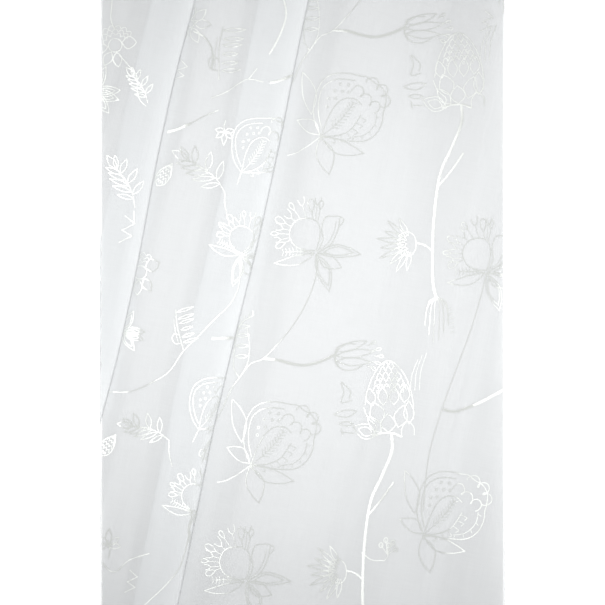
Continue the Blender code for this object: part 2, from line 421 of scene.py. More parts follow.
class Drawing:
    """Lines of stitches on the flat cloth, in millimetres."""

    def __init__(self):
        self.lines = []

    def curve(self, points, thread="outline", closed=False):
        line = smooth(points, closed)
        self.lines.append(Line(thread, line))
        return line

    def straight(self, start, end, thread="fine"):
        start, end = np.array(start, float), np.array(end, float)
        steps = max(1, round(float(np.hypot(*(end - start))) / LINE_STEP))
        share = np.arange(steps + 1)[:, None] / steps
        self.lines.append(Line(thread, start + (end - start) * share))

    def leaf(self, base, length, width, angle, inner=0.0, bend=0.0):
        """A lance leaf at so many degrees from the right, with or without a smaller one inside it."""

        def on_leaf(points, share):
            points = np.array(points, float) * (length, width) * share
            points[:, 0] += length * INNER_LEAF_START * (1.0 - share)
            points[:, 1] += bend * length * np.sin(np.pi * points[:, 0] / length)
            return turned(points, angle) + base

        for share in (1.0, inner):
            if share > 0.0:
                self.curve(on_leaf(LEAF_SIDE, share))
                self.curve(on_leaf([(x, -y) for x, y in LEAF_SIDE], share))

    def comb(self, line, first, last, count, length, lean, thread="fine", taper=1.0):
        """Short strokes off a line, at so many degrees from its direction."""
        places, ways = along_line(line, np.linspace(first, last, count))
        reaches = length * np.linspace(1.0, taper, count)
        for place, way, reach in zip(places, ways, reaches):
            self.straight(place, place + turned([way], lean)[0] * reach, thread)

    def curls(self, line, first, last, count, size):
        """Small open hooks off the right side of a line."""
        places, ways = along_line(line, np.linspace(first, last, count))
        for place, way in zip(places, ways):
            out = turned([way], CURL_OUT)[0] * size
            back = turned([way], CURL_BACK)[0] * size
            shoulder = place + out * 0.7
            self.curve([place, shoulder, place + out + back * 0.1, shoulder + back * 0.5], "fine")

    def scallops(self, start, end, count, depth, bulge=0.0, thread="outline"):
        """A row of small arches from start to end, along a line that bulges to its left."""
        start, end = np.array(start, float), np.array(end, float)
        share = np.linspace(0.0, 1.0, POINTS_PER_ARCH * count + 1)
        out = turned([end - start], 90.0)[0]
        arch = np.abs(np.sin(np.pi * count * share)) * depth / float(np.hypot(*out))
        rise = bulge * 4.0 * share * (1.0 - share) + arch
        points = start + (end - start) * share[:, None] + out * rise[:, None]
        self.lines.append(Line(thread, points))

    def knobs(self, line, count, size):
        """A row of round knobs along a line, like the edge of a jigsaw piece."""
        share = np.linspace(0.0, 1.0, POINTS_PER_KNOB * count + 1)
        places, ways = along_line(line, share)
        outward = turned(ways, 90.0)
        turn = 2.0 * np.pi * count * share[:, None]
        points = places - ways * size * KNOB_BULGE * np.sin(turn) - outward * size * np.cos(turn)
        self.lines.append(Line("outline", points))

    def ring(self, centre, radius_x, radius_y, thread="outline"):
        turn = np.radians(np.arange(0, 360, RING_STEP))
        points = np.column_stack([radius_x * np.cos(turn), radius_y * np.sin(turn)])
        self.curve(points + centre, thread, closed=True)

    def club(self, base, stalk, head, angle):
        """A stamen: a stalk with a long loop at its end."""
        self.straight(base, np.array(base) + turned([(stalk, 0.0)], angle)[0])
        loop = np.array(CLUB_LOOP) * head + (stalk, 0.0)
        self.curve(turned(loop, angle) + base)

    def fork(self, base, stalk, prong, angle):
        """A stamen that ends in two bent prongs."""
        end = np.array(base) + turned([(stalk, 0.0)], angle)[0]
        self.straight(base, end)
        for spread, reach in FORK_PRONGS:
            tip = end + turned([(prong * reach, 0.0)], angle + spread)[0]
            bend = end + turned([(prong * 0.5 * reach, 0.0)], angle + FORK_BEND * spread)[0]
            self.curve([end, bend, tip])

    def dots(self, centres):
        """Tiny rings of fine stitches."""
        for centre in centres:
            self.ring(centre, *DOT_RADII, "fine")

    def add(self, other, at, turn, size):
        """Every line of another drawing, sized, turned and moved."""
        for thread, points in other.lines:
            self.lines.append(Line(thread, turned(points * size, turn) + at))


def blossom_cup():
    """A round cup of petals under two rows of knobs, 115 mm tall."""
    d = Drawing()
    d.curve([(0, 0), (-20, 6), (-39, 19), (-53, 38), (-58, 56), (-53, 73), (-41, 87), (-27, 98)])
    d.curve([(-8, 8), (-25, 17), (-40, 30), (-50, 46), (-49, 62), (-41, 75), (-28, 87)])
    crest = d.curve([(-27, 98), (-20, 104), (-9, 106), (4, 110), (17, 107), (27, 97), (33, 88)])
    d.knobs(crest[8:-6], 3, 6.5)
    d.knobs(smooth([(-22, 80), (-10, 84), (4, 84), (16, 87), (26, 84)]), 3, 6.0)
    d.curve([(33, 88), (42, 78), (48, 62), (46, 45), (36, 31), (20, 16), (0, 0)])
    inner = d.curve([(28, 80), (36, 70), (39, 57), (37, 44), (29, 32)], "fine")
    d.comb(inner, 0.05, 0.95, 5, 5, 70)
    d.curve([(0, 0), (-14, 26), (-20, 46), (-18, 60), (-9, 70), (3, 72)])
    spine = d.curve([(0, 0), (1, 22), (-1, 46), (-6, 66)], "fine")
    d.comb(spine, 0.30, 0.95, 9, 9, 48, taper=0.7)
    d.comb(spine, 0.30, 0.95, 9, 9, -48, taper=0.7)
    second = d.curve([(0, 0), (14, 18), (20, 38), (14, 62)])
    d.curls(second, 0.25, 0.95, 6, 10)
    d.dots([(-26, 34), (-33, 42), (-27, 50), (-36, 56), (-28, 64), (-38, 68), (-29, 76), (-21, 70)])
    return d


def blossom():
    """The cup over four long leaves, 145 mm tall."""
    d = blossom_cup()
    d.leaf((1, -1), 64, 20, 29, bend=-0.06)
    d.leaf((1, -3), 52, 25, -27, bend=0.03)
    d.leaf((-3, 0), 40, 18, 196, bend=-0.08)
    d.leaf((-33, 10), 62, 20, 152, bend=-0.05)
    return d


def lily():
    """A round bowl with looped and forked stamens, a folded petal and lance leaves, 125 mm tall."""
    d = Drawing()
    d.curve([(0, 3), (-17, 4), (-31, 12), (-36, 27), (-28, 42), (-11, 46), (2, 40), (5, 23), (0, 3)])
    for x, y, angle, stalk, head in (
        (-35, 17, 204, 7, 15), (-36, 25, 176, 15, 11), (-33, 35, 152, 9, 17), (-20, 44, 126, 16, 12),
        (-5, 46, 96, 8, 18), (2, 43, 78, 15, 12),
    ):
        d.club((x, y), stalk, head, angle)
    for x, y, angle, stalk, prong in (
        (-36, 20, 188, 12, 10), (-35, 30, 166, 10, 13), (-27, 41, 140, 8, 14), (-13, 46, 108, 17, 13),
        (-1, 45, 84, 19, 11),
    ):
        d.fork((x, y), stalk, prong, angle)
    d.curve([(2, 2), (9, 18), (7, 32), (12, 47), (22, 49), (33, 48), (37, 43), (32, 36)])
    d.curve([(32, 46), (29, 30), (20, 12), (4, 1)])
    d.curve([(27, 42), (24, 28), (16, 13), (5, 5)], "fine")
    d.leaf((2, 0), 58, 17, -2, inner=0.68, bend=0.06)
    d.leaf((2, -1), 37, 18, -30, bend=-0.05)
    d.leaf((0, -2), 52, 19, -70, inner=0.74, bend=0.04)
    d.leaf((-3, -1), 55, 12, 193, bend=0.06)
    comb = smooth([(-3, 0), (-22, 2), (-44, 1)])
    d.curve(comb[::8])
    d.comb(comb, 0.30, 1.0, 7, 5, 70)
    d.comb(comb, 0.30, 1.0, 7, 5, -70)
    return d


def coneflower():
    """A tall dome of scales over rows of lozenge petals and a flared collar, 110 mm tall."""
    d = Drawing()
    d.curve([(-26, -2), (-12, 1), (2, 0), (13, -5)], "stem")
    d.leaf((-20, -2), 34, 20, 158, inner=0.6)
    d.leaf((-14, 2), 28, 14, 128)
    d.curve([(-24, 0), (-20, 10), (-31, 22), (-36, 36)])
    d.curve([(13, -5), (14, 6), (22, 15), (30, 7), (30, -3)])
    d.leaf((-4, 2), 24, 20, 90)
    d.leaf((-14, 14), 30, 20, 108)
    d.leaf((9, 8), 30, 18, 72)
    d.leaf((24, 12), 30, 14, 88)
    for x, y, lean in ((-24, 38, 100), (-9, 38, 92), (5, 38, 86), (19, 40, 82)):
        d.leaf((x, y), 24, 13, lean)
    d.curve([
        (-34, 40), (-29, 60), (-22, 76), (-12, 90), (0, 97), (12, 90), (22, 75), (28, 58), (31, 38),
        (30, 18),
    ])
    for level, half in ((58, 22), (66, 20), (74, 17), (82, 12), (89, 7)):
        d.scallops((-half, level), (half, level), max(2, round(half / 4)), 6, 0.06)
        if half > 12:
            d.dots([(x, level - 2) for x in range(-half + 6, half, 11)])
    for reach, aside in ((40, 28), (46, 34), (48, 40)):
        d.curve([(aside, 56), (aside + 3, 56 + reach * 0.5), (aside + 12, 56 + reach)], "fine")
    return d


def bell_bud():
    """A bell of long sepals with a frilled mouth, 65 mm long, standing on a flat cap."""
    d = Drawing()
    d.curve([(17, 3), (8, -1), (0, 0), (-9, 3)], "stem")
    d.curve([(17, 3), (22, 12), (22, 24), (18, 34)])
    d.curve([(-9, 3), (-13, 14), (-12, 28)])
    for x, length, lean in ((2, 52, 93), (9, 46, 84), (-4, 44, 104)):
        d.leaf((x, 1), length, 11, lean)
    for x, y, lean in ((-9, 44, 112), (-2, 50, 96), (6, 52, 86), (13, 48, 72), (18, 42, 60)):
        d.club((x, y), 4, 8, lean)
    return d


def feather_bud():
    """A long closed bud, laddered on one side, under a hooked tip, 90 mm tall."""
    d = Drawing()
    left = d.curve([(0, 0), (-8, 12), (-9, 34), (-7, 56), (0, 74), (14, 84)])
    d.curve([(0, 0), (10, 20), (11, 44), (7, 66)], "fine")
    for level in (28, 42, 56, 68):
        d.leaf((-7, level), 17, 5, 4)
    d.comb(left, 0.60, 1.0, 7, 6, 65, "outline")
    return d


def comb_leaf():
    """A leaf of narrow bars off one side of a spine, curled at its foot, 70 mm tall."""
    d = Drawing()
    d.curve([(0, 0), (-1, 20), (-2, 44), (2, 70)])
    d.curve([(-6, 12), (-7, 34), (-5, 56)], "fine")
    for level, reach in ((12, 26), (22, 22), (34, 21), (46, 26), (54, 28), (66, 30)):
        d.leaf((3, level), reach, 5, 3)
    d.curve([(-3, 12), (-12, 14), (-15, 24), (-9, 31), (-3, 27)])
    return d


def bar_leaf():
    """A bar, two lance leaves and a folded leaf, one above another, pointing left, 75 mm tall."""
    d = Drawing()
    d.straight((0, 0), (-17, 2), "outline")
    d.straight((-16, -3), (-17, 7), "outline")
    d.leaf((0, 13), 20, 6, 176)
    d.leaf((5, 31), 32, 10, 186, bend=0.05)
    d.curve([(-2, 46), (-16, 44), (-12, 58), (-15, 72), (-3, 60), (-4, 50)])
    return d


def sprig():
    """A bent stem, narrow leaves on its left and wider ones on its right and tip, 70 mm tall."""
    d = Drawing()
    stem = d.curve([(0, 0), (1, 16), (-3, 34), (-10, 50)])
    for share, angle, length, width in (
        (0.20, 150, 20, 5), (0.36, 146, 24, 5), (0.52, 144, 24, 5), (0.68, 142, 22, 5),
        (0.84, 140, 20, 5), (0.30, 34, 20, 7), (0.58, 40, 20, 7), (0.86, 52, 18, 7),
        (1.0, 112, 20, 8), (1.0, 84, 16, 6),
    ):
        place, _ = along_line(stem, [share])
        d.leaf(place[0], length, width, angle)
    return d


def daisy_leaves():
    """Four double lance leaves that fan out from one point, each 31 mm long."""
    d = Drawing()
    for angle in (66, 4, -16, -50):
        d.leaf((0, 0), 31, 12, angle, inner=0.62)
    return d


def star_flower():
    """An open flower of seven pointed petals on a round heart, 55 mm across."""
    d = Drawing()
    d.ring((0, 0), 5, 5)
    for angle in (8, 52, 98, 146, 194, 248, 306):
        d.leaf(turned([(6, 0)], angle)[0], 22, 12, angle)
    return d


def hop():
    """A small dense cone of short stitches, 36 mm tall."""
    d = Drawing()
    d.curve([(0, 0), (-8, 8), (-8, 22), (0, 36)])
    d.curve([(0, 0), (8, 8), (8, 22), (0, 36)])
    for level, half in ((5, 5), (11, 7), (17, 7), (23, 6), (29, 3)):
        d.scallops((-half, level), (half, level), 3, 4)
    return d


def round_flower():
    """A ring with rows of scales above it and lance petals round it, 56 mm across."""
    d = Drawing()
    d.ring((0, 0), 9, 9)
    for radius, count in ((13, 5), (18, 6), (23, 7)):
        turn = np.radians(np.linspace(42.0, 190.0, POINTS_PER_ARCH * count + 1))
        reach = radius + 4.0 * np.abs(np.sin(np.linspace(0.0, np.pi * count, len(turn))))
        d.lines.append(Line("fine", np.column_stack([reach * np.cos(turn), reach * np.sin(turn)])))
    d.leaf((8, 5), 20, 17, 12)
    d.leaf((-9, -4), 22, 13, 206)
    d.leaf((-3, -10), 20, 12, 256)
    d.leaf((4, -9), 20, 12, 292)
    return d


def thistle():
    """A fan of narrow petals behind a frilled cup, 60 mm tall."""
    d = Drawing()
    d.curve([(0, 0), (-11, 3), (-19, 11), (-17, 20)])
    d.curve([(0, 0), (11, 2), (19, 10), (18, 19)])
    d.scallops((-18, 19), (18, 19), 5, 5, 0.15)
    d.scallops((-14, 12), (14, 12), 4, 4, 0.10, "fine")
    for angle, length in (
        (22, 30), (42, 38), (60, 33), (76, 42), (92, 36), (108, 42), (126, 34), (144, 37), (162, 29),
    ):
        d.leaf(turned([(14, 0)], angle)[0] + (0, 6), length, 7, angle)
    return d


def hanging_bell():
    """Drooping strands under a small cap, 60 mm long, drawn the way they hang."""
    d = Drawing()
    d.curve([(0, 0), (-10, 5), (-14, 14)])
    d.curve([(0, 0), (10, 5), (13, 14)])
    for x, reach in ((-13, 36), (-8, 46), (-3, 56), (3, 60), (8, 50), (13, 38)):
        thread = "outline" if abs(x) > 7 else "fine"
        d.curve([(x * 0.4, 3), (x, 14), (x * 1.2, reach)], thread)
    d.comb(smooth([(-13, 14), (-17, 28), (-19, 46)]), 0.1, 1.0, 6, 5, 100)
    return d


def small_star():
    """A small open flower of lance petals on a short stalk, 39 mm tall."""
    d = Drawing()
    d.curve([(0, 0), (2, 10), (0, 16)])
    for angle, length in ((90, 22), (140, 17), (38, 17), (185, 16), (-8, 16)):
        d.leaf((0, 17), length, 8, angle)
    return d


def bud_spray():
    """A few tiny round buds on a branched twig, 30 mm tall."""
    d = Drawing()
    d.curve([(0, 0), (3, 8), (1, 18)], "fine")
    for x, y in ((1, 21), (11, 18), (-9, 19), (6, 26), (-4, 27)):
        d.straight((2, 9), (x, y))
        d.ring((x, y), 2.6, 3.2)
    return d


def zigzag_leaf():
    """A zigzag of four strokes, 30 mm tall."""
    d = Drawing()
    corners = ((0, 0), (14, 8), (2, 14), (16, 22), (4, 30))
    for start, end in zip(corners, corners[1:]):
        d.straight(start, end, "outline")
    return d


# Where the motifs lie on the flat cloth: u to the right and w upwards in millimetres, and the turn in
# degrees. The middle of the cloth shows one repeat of the pattern and the start of the next. Beside the
# lapped folds and at the right edge each motif has a place of its own.
Place = namedtuple("Place", "motif u w turn size")
REPEAT_LENGTH = 447.0
REPEAT_ROWS = (1, 0, -1)
REPEATED = (
    Place(blossom, -30, -41, -37, 0.95),
    Place(lily, -4, -194, 12, 1.0),
    Place(coneflower, 146, 39, 15, 1.0),
    Place(bar_leaf, 96, 28, 14, 0.95),
    Place(bell_bud, 50, 126, -74, 1.0),
    Place(thistle, 125, -153, 108, 0.85),
    Place(feather_bud, -71, 69, 9, 1.0),
    Place(hanging_bell, 168, -218, 190, 1.0),
)
PLACED = (
    Place(star_flower, -372, 71, 0, 1.0),
    Place(comb_leaf, -317, 6, 10, 1.0),
    Place(blossom_cup, -258, -110, -28, 0.78),
    Place(small_star, -295, -46, 188, 0.85),
    Place(sprig, -274, -140, 50, 1.3),
    Place(lily, -234, -218, -20, 0.78),
    Place(daisy_leaves, -368, -350, 6, 1.0),
    Place(comb_leaf, -281, -357, 26, 0.78),
    Place(blossom_cup, -236, -456, -28, 0.74),
    Place(comb_leaf, -222, -498, -10, 0.55),
    Place(sprig, -272, -479, 70, 1.05),
    Place(hop, -360, -519, -26, 1.0),
    Place(lily, -216, -566, -14, 0.78),
    Place(small_star, -317, -650, 12, 1.0),
    Place(zigzag_leaf, -285, -690, 8, 1.0),
    Place(zigzag_leaf, -377, -6, 0, 0.9),
    Place(round_flower, -362, -268, 20, 1.0),
    Place(hop, -367, -150, -24, 1.0),
    Place(round_flower, -582, 22, 0, 1.0),
    Place(daisy_leaves, -596, -45, 10, 1.2),
    Place(sprig, -520, -45, 30, 0.8),
    Place(sprig, -502, -185, 28, 1.15),
    Place(zigzag_leaf, -512, -235, 8, 1.2),
    Place(blossom, 218, -532, -37, 0.95),
    Place(lily, 229, -172, 12, 1.0),
    Place(bell_bud, 287, -318, -64, 1.0),
    Place(bud_spray, 172, -575, 0, 1.0),
    Place(zigzag_leaf, 150, 140, 4, 0.9),
)

# The stems: the thread that each is stitched in, and its points on the flat cloth in millimetres.
REPEATED_STEMS = (
    ("satin", (
        (146, 39), (151, 15), (145, -20), (138, -50), (138, -82), (143, -126), (150, -165), (158, -200),
        (168, -222),
    )),
    ("stem", ((139, -72), (150, -52), (162, -24))),
    ("outline", (
        (-92, 0), (-84, 26), (-79, 50), (-71, 69), (-60, 90), (-44, 101), (-27, 127), (-12, 158),
        (-2, 190), (2, 224), (-3, 252),
    )),
    ("satin", ((-44, 101), (-24, 103), (-4, 102), (14, 104), (34, 114), (50, 126))),
    ("outline", ((-30, -41), (-44, -56), (-58, -68), (-70, -74))),
    ("stem", ((126, -153), (138, -154), (150, -160))),
)
PLACED_STEMS = (
    ("stem", ((-365, 62), (-349, 57), (-337, 46), (-331, 32), (-330, 18))),
    ("stem", ((-256, 130), (-247, 109), (-247, 89), (-252, 66), (-257, 52))),
    ("outline", ((-321, -20), (-303, -8), (-289, 5), (-277, 14), (-257, 14))),
    ("outline", ((-277, 14), (-269, 30))),
    ("satin", ((-247, 15), (-235, 20), (-219, 31), (-200, 42), (-150, 40), (-110, 20), (-92, 0))),
    ("outline", ((-308, -34), (-325, -46), (-341, -60))),
    ("satin", ((-341, -60), (-355, -70), (-369, -77))),
    ("outline", ((-258, -110), (-260, -126))),
    ("outline", ((-274, -140), (-270, -156), (-262, -173))),
    ("outline", (
        (-415, -440), (-375, -434), (-341, -427), (-317, -412), (-294, -390), (-281, -360), (-267, -338),
        (-249, -309), (-232, -283), (-227, -255), (-234, -218),
    )),
    ("satin", ((-246, -334), (-233, -331), (-217, -327))),
    ("outline", ((-236, -456), (-240, -474))),
    ("outline", ((-272, -479), (-268, -495), (-260, -512))),
    ("outline", ((-220, -569), (-217, -600), (-218, -630), (-222, -648), (-235, -672), (-257, -704))),
    ("outline", ((-329, -655), (-306, -667), (-289, -647), (-264, -632))),
    ("outline", ((-602, 90), (-599, 70), (-596, 55), (-588, 42))),
    ("outline", ((-573, 10), (-556, -2), (-542, -14), (-538, -30), (-530, -44), (-520, -50))),
    ("outline", ((-498, -205), (-502, -190))),
    ("outline", (
        (229, -172), (227, -210), (223, -252), (215, -302), (208, -345), (203, -385), (201, -425),
        (204, -460), (210, -500),
    )),
    ("satin", ((208, -362), (221, -363), (237, -357), (259, -342), (287, -318))),
    ("outline", ((140, -572), (155, -578), (172, -575))),
)
# Which motifs make up each piece of embroidery.
PIECES = (
    ("embroidered_blossoms", (blossom, blossom_cup)),
    ("embroidered_lilies", (lily, star_flower, daisy_leaves, round_flower)),
    ("embroidered_cones", (coneflower, hop, thistle)),
    ("embroidered_buds", (bell_bud, feather_bud, hanging_bell, bud_spray)),
    ("embroidered_leaves", (comb_leaf, bar_leaf, sprig, small_star, zigzag_leaf)),
)
STEM_PIECE = "embroidered_stems"


def motif_lines(motifs):
    """Every line of the motifs that belong to one piece, on the flat cloth."""
    drawing = Drawing()
    for row in REPEAT_ROWS:
        for place in REPEATED:
            if place.motif in motifs:
                at = (place.u, place.w + row * REPEAT_LENGTH)
                drawing.add(place.motif(), at, place.turn, place.size)
    for place in PLACED:
        if place.motif in motifs:
            drawing.add(place.motif(), (place.u, place.w), place.turn, place.size)
    return drawing.lines


def stem_lines():
    drawing = Drawing()
    for row in REPEAT_ROWS:
        for thread, points in REPEATED_STEMS:
            drawing.curve(np.array(points, float) + (0.0, row * REPEAT_LENGTH), thread)
    for thread, points in PLACED_STEMS:
        drawing.curve(points, thread)
    return drawing.lines


class Value:
    """A socket in an expression: each operator adds the Math node that works it out."""

    def __init__(self, nodes, socket):
        self.nodes = nodes
        self.socket = socket

    def __add__(self, other):
        return self.nodes.math("ADD", self, other)

    def __sub__(self, other):
        return self.nodes.math("SUBTRACT", self, other)

    def __rsub__(self, other):
        return self.nodes.math("SUBTRACT", other, self)

    def __mul__(self, other):
        return self.nodes.math("MULTIPLY", self, other)

    __radd__ = __add__
    __rmul__ = __mul__


class Nodes:
    """Builds one node tree."""

    def __init__(self, tree):
        self.tree = tree

    def node(self, kind, settings=None, **sockets):
        """Add a node: first its settings, then the values or links of its sockets, by name."""
        node = self.tree.nodes.new(kind)
        for name, value in (settings or {}).items():
            setattr(node, name, value)
        for name, value in sockets.items():
            label = name.replace("_", " ")
            socket = next(s for s in node.inputs if s.enabled and s.name.lower() == label)
            self.feed(socket, value)
        return node

    def feed(self, socket, value):
        if isinstance(value, Value):
            self.tree.links.new(value.socket, socket)
        elif isinstance(value, bpy.types.NodeSocket):
            self.tree.links.new(value, socket)
        else:
            socket.default_value = value

    def math(self, operation, left, right):
        node = self.tree.nodes.new("ShaderNodeMath")
        node.operation = operation
        self.feed(node.inputs[0], left)
        self.feed(node.inputs[1], right)
        return Value(self, node.outputs[0])

    def value(self, node, output=0):
        return Value(self, node.outputs[output])


def new_material(name):
    """A material with an empty Principled BSDF, and the nodes to build it with."""
    material = bpy.data.materials.new(name)
    material.use_nodes = True
    nodes = Nodes(material.node_tree)
    shader = material.node_tree.nodes["Principled BSDF"]
    return material, nodes, shader


# How often the voile changes to a metre of cloth: from thread to thread along the warp and the weft,
# each with its slow thick and thin places, and in soft clouds.
WARP_SCALE = (1400.0, 22.0, 1.0)
WEFT_SCALE = (26.0, 1200.0, 1.0)
CLOUD_SCALE = 14.0
CLOUD_SHARE = 0.3
WEAVE_DEPTH = 0.0003
# How often the thread's shade changes to a metre, and by how much its colour and roughness change.
THREAD_SCALE = 420.0
DULL_SHARE = 0.94
ROUGHNESS_CHANGE = 0.12


def voile_material(look):
    """Sheer plain weave: thin and thick threads both ways let more or less through."""
    material, nodes, shader = new_material("sheer voile")
    flat = nodes.node("ShaderNodeTexCoord").outputs["UV"]
    slubs = []
    for scale in (WARP_SCALE, WEFT_SCALE):
        stretched = nodes.node("ShaderNodeMapping", vector=flat, scale=scale).outputs[0]
        noise = nodes.node("ShaderNodeTexNoise", vector=stretched, scale=1.0, detail=3.0, roughness=0.55)
        slubs.append(nodes.value(noise))
    threads = slubs[0] * 0.5 + slubs[1] * 0.5
    cloudy = nodes.value(nodes.node("ShaderNodeTexNoise", vector=flat, scale=CLOUD_SCALE, detail=2.0))
    density = threads * (1.0 - CLOUD_SHARE) + cloudy * CLOUD_SHARE
    colour = nodes.node(
        "ShaderNodeMix", {"data_type": "RGBA"}, factor=density,
        a=(*look.thin_colour, 1.0), b=(*look.thick_colour, 1.0),
    )
    nodes.feed(shader.inputs["Base Color"], colour.outputs[2])
    nodes.feed(shader.inputs["Alpha"], look.density + (density - 0.5) * look.density_change)
    bump = nodes.node("ShaderNodeBump", strength=0.25, distance=WEAVE_DEPTH, height=threads)
    nodes.feed(shader.inputs["Normal"], bump.outputs[0])
    shader.inputs["Roughness"].default_value = 0.85
    shader.inputs["Specular IOR Level"].default_value = 0.2
    shader.inputs["Sheen Weight"].default_value = 0.15
    return material


def thread_material(look):
    """Glossy white embroidery thread, a little brighter or duller from stitch to stitch."""
    material, nodes, shader = new_material("embroidery thread")
    place = nodes.node("ShaderNodeTexCoord").outputs["Object"]
    lots = nodes.value(nodes.node("ShaderNodeTexNoise", vector=place, scale=THREAD_SCALE, detail=1.0))
    colour = nodes.node(
        "ShaderNodeMix", {"data_type": "RGBA"}, factor=lots,
        a=(*(DULL_SHARE * part for part in look.thread_colour), 1.0), b=(*look.thread_colour, 1.0),
    )
    nodes.feed(shader.inputs["Base Color"], colour.outputs[2])
    nodes.feed(shader.inputs["Roughness"], look.thread_roughness + (lots - 0.5) * ROUGHNESS_CHANGE)
    shader.inputs["Metallic"].default_value = look.thread_gloss
    return material


def floor_material(name, brightness, glow):
    """A matt neutral floor that may add some light of its own."""
    material, _, shader = new_material(name)
    shader.inputs["Base Color"].default_value = (brightness, brightness, brightness, 1.0)
    shader.inputs["Roughness"].default_value = 0.9
    shader.inputs["Specular IOR Level"].default_value = 0.0
    shader.inputs["Emission Color"].default_value = (1.0, 1.0, 1.0, 1.0)
    shader.inputs["Emission Strength"].default_value = glow
    return material


def stitch_tree():
    """Geometry Nodes that lay one stitch after another along every line of a mesh."""
    tree = bpy.data.node_groups.new("Stitches along lines", "GeometryNodeTree")
    face = tree.interface
    face.new_socket("Geometry", in_out="OUTPUT", socket_type="NodeSocketGeometry")
    face.new_socket("Geometry", in_out="INPUT", socket_type="NodeSocketGeometry")
    face.new_socket("Unevenness", in_out="INPUT", socket_type="NodeSocketFloat")
    face.new_socket("Seed", in_out="INPUT", socket_type="NodeSocketInt")
    face.new_socket("Material", in_out="INPUT", socket_type="NodeSocketMaterial")
    nodes = Nodes(tree)
    given = nodes.node("NodeGroupInput")

    def stored(name, kind):
        return nodes.node("GeometryNodeInputNamedAttribute", {"data_type": kind}, name=name).outputs[0]

    lines = nodes.node("GeometryNodeMeshToCurve", mesh=given.outputs["Geometry"])
    points = nodes.node(
        "GeometryNodeResampleCurve", {"mode": "LENGTH"},
        curve=lines.outputs[0], length=stored("pitch", "FLOAT"),
    )
    tangent = nodes.node("GeometryNodeInputTangent").outputs[0]
    square = nodes.node(
        "FunctionNodeAxesToRotation", {"primary_axis": "X", "secondary_axis": "Z"},
        primary_axis=tangent, secondary_axis=stored("facing", "FLOAT_VECTOR"),
    )
    lean = nodes.node(
        "FunctionNodeAxisAngleToRotation", axis=(0.0, 0.0, 1.0), angle=stored("lean", "FLOAT")
    )
    leaning = nodes.node(
        "FunctionNodeRotateRotation", {"rotation_space": "LOCAL"},
        rotation=square.outputs[0], rotate_by=lean.outputs[0],
    )
    uneven = nodes.value(given, "Unevenness")
    chance = nodes.node(
        "FunctionNodeRandomValue", {"data_type": "FLOAT"},
        min=1.0 - uneven, max=1.0 + uneven, seed=given.outputs["Seed"],
    )
    size = nodes.node(
        "ShaderNodeVectorMath", {"operation": "SCALE"},
        vector=stored("size", "FLOAT_VECTOR"), scale=nodes.value(chance, 1),
    )
    grain = nodes.node("GeometryNodeMeshIcoSphere", radius=0.5, subdivisions=1)
    laid = nodes.node(
        "GeometryNodeInstanceOnPoints", points=points.outputs[0], instance=grain.outputs[0],
        rotation=leaning.outputs[0], scale=size.outputs[0],
    )
    real = nodes.node("GeometryNodeRealizeInstances", geometry=laid.outputs[0])
    coloured = nodes.node(
        "GeometryNodeSetMaterial", geometry=real.outputs[0], material=given.outputs["Material"]
    )
    nodes.node("NodeGroupOutput", geometry=coloured.outputs[0])
    return tree


def line_mesh(name, lines, embroidery):
    """The lines as edges just above the folded cloth, with what each stitch needs at every point."""
    verts, edges, facings, sizes, pitches, leans = [], [], [], [], [], []
    for thread, points in lines:
        kind = THREADS[thread]
        places, directions, kept = embroidery.place(points)
        size = (kind.length / MM_PER_METRE, kind.width / MM_PER_METRE, kind.height / MM_PER_METRE)
        places = places + directions * (SURFACE_LIFT - SUNK_SHARE * size[2] / 2.0)
        for index in range(len(points)):
            if not kept[index]:
                continue
            if index and kept[index - 1]:
                edges.append((len(verts) - 1, len(verts)))
            verts.append(places[index])
            facings.append(directions[index])
            sizes.append(size)
            pitches.append(kind.pitch / MM_PER_METRE)
            leans.append(math.radians(kind.lean))
    mesh = bpy.data.meshes.new(name)
    mesh.from_pydata(verts, edges, [])
    for label, kind, key, values in (
        ("facing", "FLOAT_VECTOR", "vector", facings),
        ("size", "FLOAT_VECTOR", "vector", sizes),
        ("pitch", "FLOAT", "value", pitches),
        ("lean", "FLOAT", "value", leans),
    ):
        attribute = mesh.attributes.new(label, kind, "POINT")
        attribute.data.foreach_set(key, np.asarray(values, np.float32).ravel())
    return mesh


def linked_object(name, data):
    thing = bpy.data.objects.new(name, data)
    bpy.context.scene.collection.objects.link(thing)
    return thing


def finish_piece(piece):
    """Let a piece ride on the cloth's body."""
    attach(piece, BODY)


def factor_setting(name, description, default):
    return bpy.props.FloatProperty(
        name=name, description=description, default=default, min=0.0, max=1.0, subtype="FACTOR",
    )


def length_setting(name, description, default, least, most):
    return bpy.props.FloatProperty(
        name=name, description=description, default=default, min=least, max=most, precision=4,
        unit="LENGTH",
    )


def power_setting(name, description, default):
    return bpy.props.FloatProperty(
        name=name, description=description, default=default, min=0.0, max=500.0, unit="POWER",
    )


def colour_setting(name, description, default):
    return bpy.props.FloatVectorProperty(
        name=name, description=description, default=default, min=0.0, max=1.0, size=3, subtype="COLOR",
    )


class ClothLook(bpy.types.PropertyGroup):
    """The sheer cloth and its thread."""

    thickness: length_setting("Thickness", "Thickness of the voile", 0.0005, 0.0001, 0.001)
    density: factor_setting("Density", "How much light one side of the voile stops", 0.40)
    density_change: factor_setting(
        "Density change", "How much the density varies with thin and thick threads", 0.09
    )
    thin_colour: colour_setting(
        "Thin colour", "Colour of the voile where its threads are thin", (0.895, 0.912, 0.922)
    )
    thick_colour: colour_setting(
        "Thick colour", "Colour of the voile where its threads are thick", (0.94, 0.955, 0.965)
    )
    thread_colour: colour_setting("Thread colour", "Colour of the embroidery thread", (0.76, 0.78, 0.755))
    thread_roughness: factor_setting("Thread roughness", "How dull the thread is", 0.20)
    thread_gloss: factor_setting("Thread gloss", "How much of the thread's light is a silky glint", 0.35)
    unevenness: factor_setting("Unevenness", "How much stitches differ in size", 0.14)


